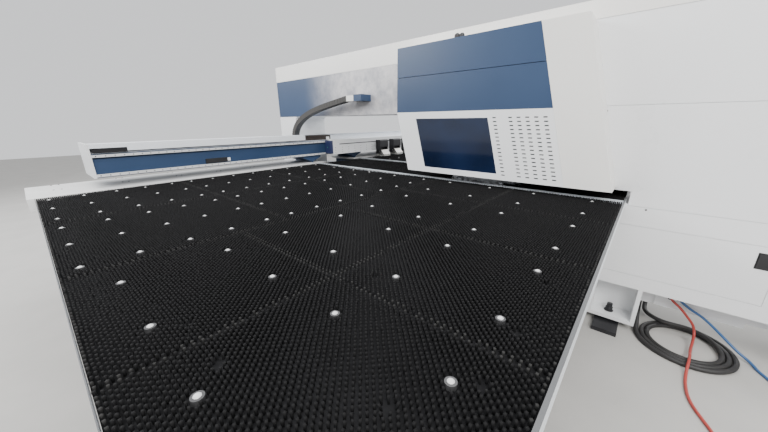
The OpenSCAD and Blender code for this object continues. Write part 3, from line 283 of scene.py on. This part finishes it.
# Plastics, rubber, bristle and glass
black = make("black_plastic", (0.016, 0.016, 0.018), 0.48, spread=0.2, scale=12, bump=0.05)
# Near-black for painted shade behind the head-door vents and in the channel's recess, and for the real joint
# line on the channel lid.
dark = make("shade_and_joint_black", (0.010, 0.010, 0.012), 0.9, spread=0.1, scale=10, bump=0.02)
chain_grey = make("chain_side", (0.040, 0.037, 0.034), 0.60, spread=0.12, scale=20, bump=0.06)
chain_brown = make("chain_dusty", (0.030, 0.021, 0.018), 0.62, spread=0.35, scale=30, bump=0.10)
rubber = make("cable_rubber", (0.022, 0.021, 0.021), 0.55, spread=0.15, scale=18, bump=0.10, fine=350,
              dirt=(0.20, 0.18, 0.16), dirt_amount=0.35)
hose_red = make("hose_red", (0.42, 0.055, 0.045), 0.36, spread=0.08, scale=14, bump=0.03)
hose_blue = make("hose_blue", (0.045, 0.125, 0.30), 0.36, spread=0.08, scale=14, bump=0.03)
tuft_black = bristle("tuft_black", (0.0030, 0.0030, 0.0034), (0.011, 0.0107, 0.0112))
tuft_grey = bristle("tuft_grey", (0.009, 0.009, 0.009), (0.042, 0.041, 0.040))
board_black = make("brush_board", (0.009, 0.009, 0.010), 0.8, spread=0.3, scale=12, bump=0.05, spec=0.15)
glass = make("tinted_pane", (0.006, 0.014, 0.042), 0.06, spread=0.5, scale=2.5, bump=0.0, coat=0.15)
glass.node_tree.nodes["Principled BSDF"].inputs["Transmission Weight"].default_value = 0.25


def pair(name):
    return f"{name}_left", f"{name}_right"


def dress():
    """Gives every CAD node that stays in sight its finish."""
    finishes = (
        (white, ("top_cover", *pair("head_shell"))),
        (white_cool, ("o_frame", "column_panels", "cabinet_door", "foot_brackets", "beam_ends", "x_carriage",
                      *pair("table_frame"), *pair("head_door"))),
        (channel_white, ("chain_channel",)),
        (deck_white, pair("rear_deck")),
        (blue, ("x_beam", "saddle", *pair("head_upper_panel"), *pair("head_door_cap"))),
        (blue_film, pair("bridge_panel")),
        (bracket_paint, ("chain_bracket",)),
        (glass, pair("head_window")),
        (steel, ("upper_turret", "lower_turret", "ram_cylinder", "ram", "punches", "dies", "y_rails",
                 "y_screw", "x_screw")),
        (rail_bright, ("x_rails",)),
        (ball_steel, ("ball_transfers",)),
        (strip_shaded_top, ("edge_strips",)),
        (clamp_metal, ("clamp_1", "clamp_2", "clamp_3")),
        (jaw_steel, ("jaw_1", "jaw_2", "jaw_3")),
        (iron, ("levelling_bolts",)),
        (black, ("door_latch", "roof_gland", "y_motor")),
        (chain_brown, ("x_chain",)),
    )
    for material, nodes in finishes:
        for n in nodes:
            for seat in NODES[n].material_slots:
                seat.link = "OBJECT"
                seat.material = material


# Mesh helpers
BOX_FACES = [(0, 3, 2, 1), (4, 5, 6, 7), (0, 1, 5, 4), (1, 2, 6, 5), (2, 3, 7, 6), (3, 0, 4, 7)]


def mesh(name, verts, faces, material, body="machine"):
    data = bpy.data.meshes.new(name)
    data.from_pydata([tuple(v) for v in verts], [], faces)
    data.materials.append(material)
    o = place(name, data)
    if body:
        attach(o, body)
    return o


class Parts:
    """Gathers simple solids into one mesh."""

    def __init__(self):
        self.v, self.f = [], []

    def hexahedron(self, corners):
        """Eight corners: the lower ring of four, then the upper one."""
        n = len(self.v)
        self.v += [tuple(c) for c in corners]
        self.f += [tuple(i + n for i in q) for q in BOX_FACES]

    def box(self, lo, hi):
        (a, b, c), (d, e, g) = lo, hi
        self.hexahedron([(x, y, z) for z in (c, g) for x, y in ((a, b), (d, b), (d, e), (a, e))])

    def disc(self, centre, axis, r, h, sides=10, r_top=None):
        """A short cylinder or cone that stands on centre and grows along axis."""
        n = len(self.v)
        c, ax = Vector(centre), Vector(axis).normalized()
        u = ax.orthogonal().normalized()
        w = ax.cross(u)
        for radius, along in ((r, 0), (r if r_top is None else r_top, h)):
            for k in range(sides):
                a = 2 * math.pi * k / sides
                self.v.append(tuple(c + ax * along + (u * math.cos(a) + w * math.sin(a)) * radius))
        ring = range(sides)
        self.f += [(n + k, n + (k + 1) % sides, n + sides + (k + 1) % sides, n + sides + k) for k in ring]
        self.f.append(tuple(n + sides + k for k in ring))
        self.f.append(tuple(n + k for k in reversed(ring)))

    def make(self, name, material, body="machine"):
        return mesh(name, self.v, self.f, material, body)


# Cords
CABLE_R = 0.015
HOSE_R = 0.008
TURN_POINTS = 24

# Middles of the coils, in metres
CABLE_MIDDLE = (-0.202, -1.838)
RED_MIDDLE = (-1.100, -2.065)
BLUE_MIDDLE = (-0.400, -2.345)

# Routes between the housing and the coils, in millimetres
CABLE_IN = ((150, -1582, 339.7), (150, -1582, 240), (150, -1582, 150), (142, -1582, 104), (115, -1582, 60),
            (78, -1582, 31), (46, -1582, 19), (15, -1582, 15.4), (-15, -1582, 15.2), (-80, -1582, 15.2),
            (-145, -1582, 15.2))
CABLE_OUT = ((-31.5, -1734.5, 45.5), (-8, -1678.5, 45.5), (36.5, -1637.5, 45.5), (106.5, -1619, 45.5),
             (169, -1619, 62.5), (215, -1619, 108), (231.5, -1619, 170.5), (231.5, -1619, 240),
             (231.5, -1619, 339.7))
RED_LEAD = ((-155, -1712, 339.7), (-155, -1713, 316), (-156, -1727, 288), (-140, -1777, 240),
            (-128, -1824, 185), (-108, -1863, 130), (-105, -1877, 97), (-117, -1884, 67), (-144, -1883, 46),
            (-185, -1878, 32), (-245, -1869, 23), (-311, -1861, 24), (-355, -1856, 35), (-395, -1851, 39),
            (-445, -1844, 39), (-464, -1841.5, 38.5), (-483, -1839, 32), (-530, -1834, 14), (-585, -1829, 8),
            (-641, -1826, 8), (-735, -1830, 8), (-810, -1847, 8), (-880, -1876, 8), (-945, -1905, 8),
            (-1017, -1931, 8), (-1065, -1943.5, 8))
BLUE_LEAD = ((-140, -1757, 339.7), (-140, -1759, 315), (-138, -1777, 285), (-121, -1832, 240),
             (-117, -1892, 207), (-109, -1956, 155), (-108, -2020, 98), (-132, -2086, 47), (-163, -2143, 16),
             (-225, -2171, 8), (-278, -2198, 8), (-330, -2219, 8), (-362, -2225, 8))


def mm(points):
    return [Vector(p) / 1000 for p in points]


def ease(s):
    """A smooth step from 0 to 1."""
    s = min(1, max(0, s))
    return s * s * (3 - 2 * s)


def handles(points):
    """Left and right handle of a smooth Bezier curve at each point."""
    out = []
    for i, p in enumerate(points):
        before, after = points[max(i - 1, 0)], points[min(i + 1, len(points) - 1)]
        t = (after - before).normalized()
        out.append((p - t * (p - before).length / 3, p + t * (after - p).length / 3))
    return out


def bezier(a, b, c, d, t):
    return a * (1 - t) ** 3 + b * 3 * (1 - t) ** 2 * t + c * 3 * (1 - t) * t * t + d * t ** 3


def curve_length(points, steps=24):
    total, h = 0.0, handles(points)
    for a, b, (_, out), (back, _) in zip(points, points[1:], h, h[1:]):
        last = a
        for k in range(1, steps + 1):
            q = bezier(a, out, back, b, k / steps)
            total += (q - last).length
            last = q
    return total


def spiral(middle, r0, r1, z0, z1, start, turns, ramp):
    """Points of a flat winding: radius r0 to r1, with the height gained over the first part of a turn."""
    n = max(6, round(turns * TURN_POINTS))
    points = []
    for i in range(n + 1):
        t = i / n
        a = math.radians(start) + 2 * math.pi * turns * t
        r = r0 + (r1 - r0) * t
        z = z0 + (z1 - z0) * (ease(t * turns / ramp) if ramp else 1)
        points.append(Vector((middle[0] + r * math.cos(a), middle[1] + r * math.sin(a), z)))
    return points


def boot(name, point, r):
    """Tapered sleeve where a cord leaves the underside of its housing."""
    down = (0, 0, -1)
    p = Parts()
    p.disc(point, down, r + 0.0035, 0.006, 20)
    p.disc(Vector(point) - Vector((0, 0, 0.005)), down, r + 0.0028, 0.045, 20, r + 0.0008)
    p.make(name, black)


def rope(name, points, r, material, nodes):
    data = bpy.data.curves.new(name, "CURVE")
    data.dimensions = "3D"
    data.bevel_depth = r
    data.bevel_resolution = 3
    data.resolution_u = 6
    data.use_fill_caps = True
    s = data.splines.new("BEZIER")
    s.bezier_points.add(len(points) - 1)
    for q, pt, (left, right) in zip(s.bezier_points, points, handles(points)):
        q.handle_left_type = q.handle_right_type = "FREE"
        q.co, q.handle_left, q.handle_right = pt, left, right
    data.materials.append(material)
    o = place(name, data)
    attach(o, "machine")
    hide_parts(*nodes)
    round(curve_length(points), 3)


def supply_cable():
    """Down from the column, two and a half turns inward, over the turns and up again."""
    outer, inner = 0.256, 0.1785
    turns, more = 2.5, 0.29
    climb_at, climb = 2.45, 0.27
    on_top = 3 * CABLE_R + 0.0005
    wind = spiral(CABLE_MIDDLE, outer, inner, CABLE_R, CABLE_R, 90, turns, 0)
    wind += spiral(CABLE_MIDDLE, inner, inner, CABLE_R, CABLE_R, 270, more, 0)[1:]
    for i, q in enumerate(wind):
        q.z = CABLE_R + 0.0002 + (on_top - CABLE_R) * ease((i / TURN_POINTS - climb_at) / climb)
    route = mm(CABLE_IN) + wind + mm(CABLE_OUT)
    boot("supply_boot_in", route[0], CABLE_R)
    boot("supply_boot_out", route[-1], CABLE_R)
    rope("supply_cable_whole", route, CABLE_R, rubber,
         ("supply_cable", "supply_cable_coil"))


def coupling(name, end, before):
    """Brass coupling on a hose's end: a hexagon, a collar and a spigot."""
    way = (end - before).normalized()
    way.z = 0
    p = Parts()
    p.disc(end - way * 0.014, way, 0.0108, 0.020, 6)
    p.disc(end + way * 0.006, way, 0.0092, 0.008, 16)
    p.disc(end + way * 0.014, way, 0.0078, 0.018, 16)
    return p.make(name, brass)


def air_hose(name, material, middle, lead):
    """Along the floor to a coil of two layers, with the end lying on top."""
    outer, inner, last = 0.116, 0.068, 0.112
    first = spiral(middle, outer, inner, HOSE_R, HOSE_R, 90, 3, 0)
    second = spiral(middle, inner, last, HOSE_R, 3 * HOSE_R, 90, 2.75, 0.3)
    tail = spiral(middle, last, last - 0.0045, 3 * HOSE_R, 5 * HOSE_R + 0.001, 360, 0.25, 0.22)
    route = mm(lead) + first + second[1:] + tail[1:]
    boot(f"{name}_boot", route[0], HOSE_R)
    fitting = coupling(f"{name}_coupling", route[-1], route[-2])
    rope(f"{name}_whole", route, HOSE_R, material,
         (name, f"{name}_coil"))


# Brush tables: spacing of the tufts, their sizes, and how they part round balls and screws
STEP = 0.01930
TUFT_INSET = 0.005
TUFT_ROOT_R = 0.0028
TUFT_TIP_R = 0.0040
TUFT_SHIFT = 0.00035
TUFT_UNEVEN = 0.0006
BALL_CLEAR = 0.0185
SCREW_CLEAR = 0.008
SCREW_REACH = 0.026
SCREW_FADE = 0.032
SCREW_LEAN = 0.0075

# Tile seams and balls: X from the table's outer edge, Y in the frame
FRONT_X = (0, 0.622, 1.242, 1.875, 2.450)
REAR_X = (0, 0.885, 1.685, 2.450)
FRONT_BALL_X = (0.135, 0.482, 0.753, 1.105, 1.365, 1.725, 2.008, 2.358)
FRONT_BALL_Y = (-1.191, -0.834, -0.508, -0.158)
REAR_BALL_X = (0.062, 0.242, 0.428, 0.612, 0.802, 0.955, 1.138, 1.332, 1.535, 1.748, 1.942, 2.132, 2.342)
REAR_BALL_Y = (0.102, 0.442, 0.782, 1.019, 1.349, 1.692)

# Screw heads of the left table's tiles, where the tufts part
DIMPLES = ((-2.6563, -0.7722), (-2.4977, -1.1289), (-2.6530, -0.5692), (-2.3443, -0.5713),
           (-2.3364, -1.2426), (-2.1304, -1.2401), (-1.8267, -1.2417), (-2.1452, -0.7770))


def lattice(x0, x1, y0, y1):
    """Staggered tuft places that fill a rectangle evenly."""
    nx, ny = round((x1 - x0) / STEP), round((y1 - y0) / STEP)
    size = [(x1 - x0) / nx, (y1 - y0) / ny]
    rows = []
    for count, shift in (((nx + 1, ny + 1), 0), ((nx, ny), 0.5)):
        gx, gy = np.meshgrid(np.arange(count[0]) + shift, np.arange(count[1]) + shift)
        rows.append(np.stack([gx.ravel(), gy.ravel()], 1) * size)
    return np.concatenate(rows) + [x0, y0]


def keep_off(c, places, distance):
    for x, y in places:
        c = c[(c[:, 0] - x) ** 2 + (c[:, 1] - y) ** 2 > distance ** 2]
    return c


def brush_mesh(name, parts_of_faces, verts, materials):
    """A mesh from blocks of faces, each with one number of corners and a material for every face."""
    data = bpy.data.meshes.new(name)
    counts = np.concatenate([np.full(len(faces), faces.shape[1]) for faces, _ in parts_of_faces])
    starts = np.concatenate([[0], np.cumsum(counts)[:-1]])
    loops = np.concatenate([faces.ravel() for faces, _ in parts_of_faces])
    data.vertices.add(len(verts))
    data.vertices.foreach_set("co", verts.astype(np.float32).ravel())
    data.loops.add(len(loops))
    data.loops.foreach_set("vertex_index", loops.astype(np.int32))
    data.polygons.add(len(starts))
    data.polygons.foreach_set("loop_start", starts.astype(np.int32))
    index = np.concatenate([kinds for _, kinds in parts_of_faces])
    data.polygons.foreach_set("material_index", index.astype(np.int32))
    data.update(calc_edges=True)
    data.validate()
    for m in materials:
        data.materials.append(m)
    return data


def tufts(name, x0, x1, y0, y1, sides, node, mirror=False, balls=()):
    """One brush tile: its board and a staggered lattice of tufts, with greyer rows along its edges."""
    x0, x1 = x0 + TILE_GAP / 2, x1 - TILE_GAP / 2
    y0, y1 = y0 + TILE_GAP / 2, y1 - TILE_GAP / 2
    screws = () if mirror else DIMPLES
    c = lattice(x0 + TUFT_INSET, x1 - TUFT_INSET, y0 + TUFT_INSET, y1 - TUFT_INSET)
    c = keep_off(keep_off(c, balls, BALL_CLEAR), screws, SCREW_CLEAR)
    n = len(c)
    c = c + rng.normal(0, TUFT_SHIFT, c.shape)
    turn = rng.uniform(0, 2 * math.pi, n)
    height = TABLE_Z - BOARD_Z - np.abs(rng.normal(0, TUFT_UNEVEN, n))
    lean = rng.normal(0, TUFT_UNEVEN, (n, 2))
    for x, y in screws:
        away = c - [x, y]
        far = np.sqrt((away ** 2).sum(1))
        near = far < SCREW_REACH
        push = SCREW_LEAN * (1 - far[near] / SCREW_FADE)
        lean[near] += away[near] / far[near][:, None] * push[:, None]
    k = np.arange(sides)
    a = turn[:, None] + k[None, :] * 2 * math.pi / sides
    verts = np.empty((n, 2 * sides, 3))
    for ring, (r, h) in enumerate(((TUFT_ROOT_R, 0.0), (TUFT_TIP_R, 1.0))):
        columns = slice(ring * sides, (ring + 1) * sides)
        verts[:, columns, 0] = c[:, :1] + r * np.cos(a) + lean[:, :1] * h
        verts[:, columns, 1] = c[:, 1:] + r * np.sin(a) + lean[:, 1:] * h
        verts[:, columns, 2] = BOARD_Z - 0.0002 + (height * h)[:, None]
    base = (np.arange(n) * 2 * sides)[:, None]
    quad = np.stack([k, (k + 1) % sides, sides + (k + 1) % sides, sides + k], 1)
    walls = (base[:, :, None] + quad[None]).reshape(-1, 4)
    tops = base + sides + k[None, :]
    board = Parts()
    board.box((x0, y0, BOARD_LOW), (x1, y1, BOARD_Z))
    board_faces = np.array(board.f) + 2 * sides * n
    verts = np.concatenate([verts.reshape(-1, 3), np.array(board.v)])
    if mirror:
        verts[:, 0] *= -1
        walls, tops, board_faces = walls[:, ::-1], tops[:, ::-1], board_faces[:, ::-1]
    rim = 2 * TUFT_INSET
    edge = (c[:, 0] < x0 + rim) | (c[:, 0] > x1 - rim) | (c[:, 1] < y0 + rim) | (c[:, 1] > y1 - rim)
    grey = (edge & (rng.uniform(0, 1, n) < 0.75)).astype(np.int32)
    blocks = ((walls, np.repeat(grey, sides)), (tops, grey), (board_faces, np.full(len(board_faces), 2)))
    o = place(name, brush_mesh(name, blocks, verts, (tuft_black, tuft_grey, board_black)))
    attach(o, "machine")
    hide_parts(node)


def side_brushes():
    """The two side tables: eight tiles in front and six behind, mirrored on the right."""
    front_row = (TABLE_FRONT + TABLE_MID) / 2
    rear_row = (TABLE_MID + TABLE_REAR) / 2 + 0.023
    balls = [(-TABLE_OUTER + x, y) for x in FRONT_BALL_X for y in FRONT_BALL_Y]
    balls += [(-TABLE_OUTER + x, y) for x in REAR_BALL_X for y in REAR_BALL_Y]
    tiles = [(xs, ys) for xs in zip(FRONT_X, FRONT_X[1:])
             for ys in ((TABLE_FRONT, front_row), (front_row, TABLE_MID))]
    tiles += [(xs, ys) for xs in zip(REAR_X, REAR_X[1:])
              for ys in ((TABLE_MID, rear_row), (rear_row, TABLE_REAR))]
    reach = 0.03
    for side, sides in (("left", 4), ("right", 3)):
        for i, ((a, b), (y0, y1)) in enumerate(tiles):
            x0, x1 = -TABLE_OUTER + a, -TABLE_OUTER + b
            near = [(x, y) for x, y in balls if x0 - reach < x < x1 + reach and y0 - reach < y < y1 + reach]
            tufts(f"brush_{side}_{i}", x0, x1, y0, y1, sides, f"brush_{side}", side == "right", near)


def centre_brushes():
    """The tiles between the rail slots, with four small ones round the turret."""
    back, front = TURRET_Y + HOLE_R, TURRET_Y - HOLE_R
    corner = HOLE_R * math.sin(math.radians(45)) + 0.001
    tiles = [(-SLOT_IN, 0, back, TABLE_REAR), (0, SLOT_IN, back, TABLE_REAR),
             (-SLOT_IN, SLOT_IN, TABLE_FRONT, front)]
    tiles += [(x, x + SLOT_IN - corner, y, y + HOLE_R - corner)
              for x in (-SLOT_IN, corner) for y in (TURRET_Y + corner, front)]
    for i, (x0, x1, y0, y1) in enumerate(tiles):
        tufts(f"brush_centre_{i}", x0, x1, y0, y1, 3, "brush_centre")


# Energy chain of the Y axis
CHAIN_X0, CHAIN_X1 = -0.407, -0.327
CHAIN_H = 0.056
CHAIN_WALL = 0.010
CHAIN_LINKS = 32
CHAIN_CURVE = (Vector((0, 1.2102, 1.722)), Vector((0, 1.700, 1.640)),
               Vector((0, 2.290, 1.580)), Vector((0, 2.290, 1.253)))


def side_link(pitch):
    """A side plate and its neighbour's overlap: start, end, low, high, and how far it is let in."""
    half = CHAIN_H / 2
    return ((0.003, pitch - 0.001, -half, half, 0),
            (-0.006, pitch * 0.5, -half + 0.007, half - 0.007, 0.0015))


def bar_link(pitch):
    """The upper and lower bar of a link, and the cables between them."""
    half = CHAIN_H / 2
    return ((pitch * 0.08, pitch * 0.92, half - 0.005, half, 0),
            (pitch * 0.08, pitch * 0.92, -half, -half + 0.005, 0),
            (0, pitch, -0.020, 0.020, 0.012))


def chain_part(name, material, spans, link):
    p = Parts()
    for i in range(CHAIN_LINKS):
        a, b = (bezier(*CHAIN_CURVE, k / CHAIN_LINKS) for k in (i, i + 1))
        d = (b - a).normalized()
        up = Vector((0, -d.z, d.y))
        for x0, x1 in spans:
            for s0, s1, low, high, inset in link((b - a).length):
                corners = []
                for h in (low, high):
                    for x, s in ((x0 + inset, s0), (x1 - inset, s0), (x1 - inset, s1), (x0 + inset, s1)):
                        q = a + d * s + up * h
                        corners.append((x, q.y, q.z))
                p.hexahedron(corners)
    o = p.make(name, material, body=None)
    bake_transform(o)
    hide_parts("y_chain")


def y_chain():
    walls = ((CHAIN_X0, CHAIN_X0 + CHAIN_WALL), (CHAIN_X1 - CHAIN_WALL, CHAIN_X1))
    between = ((CHAIN_X0 + CHAIN_WALL - 0.001, CHAIN_X1 - CHAIN_WALL + 0.001),)
    chain_part("y_chain_sides", chain_grey, walls, side_link)
    chain_part("y_chain_bars", black, between, bar_link)


# Small parts that the photo shows
def raked(y, z):
    """Y of the raked cover at height z, for a line that meets the eaves at y."""
    return y - (HEAD_EAVES_Z - z) * RAKE


def vent_shade_sheets():
    """Painted shade behind the vents of the head doors: a dark sheet inside each door."""
    low, high = 1.062, 1.515
    front, back = -0.716, -0.312
    for side, body in ((-1, "head_door_left"), (1, "head_door_right")):
        verts = [(side * (HEAD_X - depth), raked(y, z), z) for depth in (0.0055, 0.0075)
                 for y, z in ((front, low), (back, low), (back, high), (front, high))]
        mesh(f"vent_shade_sheet_{body}", verts, BOX_FACES, dark, body)


def deck_screws():
    """Screws of the rear decks, in pairs."""
    p = Parts()
    for side in (-1, 1):
        for x in (2.744, 2.315, 1.895, 1.515, 1.135, 0.735):
            for y in (2.118, 2.397):
                for shift in (0, 0.045):
                    p.disc((side * (x - shift), y, TABLE_Z - 0.001), (0, 0, 1), 0.0065, 0.0035, 10, 0.005)
    p.make("deck_screws", iron)


def panel_screw_holes():
    """Screw holes of the column panels, on both sides: dark discs that are painted shade in the holes."""
    p = Parts()
    for y, z in ((-1.150, 1.535), (-2.76, 1.535), (-1.469, 0.910), (-2.0, 0.910), (-2.76, 0.910),
                 (-1.245, 0.60), (-2.76, 0.60)):
        for side in (-1, 1):
            p.disc((side * (WALL_X - 0.0005), y, z), (side, 0, 0), 0.006, 0.0012, 10)
    p.make("panel_screw_holes", iron)


def rail_screws():
    """Screws along the beam's two linear rails."""
    p = Parts()
    for x in np.arange(-2.47, 2.48, 0.06):
        for z in (1.229, 1.075):
            p.disc((x, BEAM_FRONT + 0.0015, z), (0, -1, 0), 0.0045, 0.0016, 8)
    p.make("rail_screws", iron, "beam")


def channel_recess():
    """Painted shade for the recess in the channel's front wall, as a thin dark plate, and the dark joint
    line on its lid.
    """
    p = Parts()
    p.box((-2.485, BEAM_FRONT + 0.002, 1.252), (-2.263, BEAM_FRONT + 0.0055, 1.2895))
    p.box((-1.004, 1.992, 1.3225), (-0.497, 2.000, 1.3236))
    p.make("channel_recess", dark, "beam")


def limit_switch():
    """Limit switch on the beam, with its white end."""
    p = Parts()
    p.box((-1.470, 1.899, 1.100), (-1.439, 1.911, 1.130))
    p.make("switch_end", white_cool, "beam")
    p = Parts()
    p.box((-1.6765, 1.8965, 1.0935), (-1.4695, 1.9112, 1.1365))
    p.make("limit_switch", black, "beam")


def carriage_trim():
    """Navy end plate, green dot, screws, and the strip over the slit."""
    p = Parts()
    p.box((-0.1856, 1.7895, 1.0765), (-0.1395, 1.8912, 1.2415))
    p.make("carriage_end", navy, "carriage")
    p = Parts()
    p.disc((-0.1856, 1.846, 1.155), (-1, 0, 0), 0.007, 0.002, 14)
    p.make("carriage_dot", green, "carriage")
    p = Parts()
    for z in (1.084, 1.116, 1.148):
        for x in np.arange(-0.095, 1.68, 0.12):
            p.disc((x, 1.7962, z), (0, -1, 0), 0.0047, 0.0052, 8)
    p.box((-0.025, 1.7945, 1.1865), (1.655, 1.7979, 1.1975))
    p.make("carriage_screws", iron, "carriage")


def gland_cap():
    """Dark red dome of the gland."""
    p = Parts()
    p.disc((-0.445, -0.118, 2.105), (0, 0, 1), 0.0224, 0.012, 20, 0.016)
    p.make("gland_cap", gland_red)


def latch_rim():
    """Rim round the latch's pocket in the cabinet door."""
    y0, y1 = -2.055, -1.999
    z0, z1 = 0.663, 0.749
    rim = 0.006
    p = Parts()
    bars = ((y0 - rim, y0, z0 - rim, z1 + rim), (y1, y1 + rim, z0 - rim, z1 + rim),
            (y0, y1, z0 - rim, z0), (y0, y1, z1, z1 + rim))
    for low_y, high_y, low_z, high_z in bars:
        p.box((-WALL_X - 0.0012, low_y, low_z), (-WALL_X + 0.0015, high_y, high_z))
    p.make("latch_rim", black, "cabinet_door")


camera()
stage()
dress()
supply_cable()
air_hose("red_hose", hose_red, RED_MIDDLE, RED_LEAD)
air_hose("blue_hose", hose_blue, BLUE_MIDDLE, BLUE_LEAD)
side_brushes()
centre_brushes()
y_chain()
vent_shade_sheets()
deck_screws()
panel_screw_holes()
rail_screws()
channel_recess()
limit_switch()
carriage_trim()
gland_cap()
latch_rim()
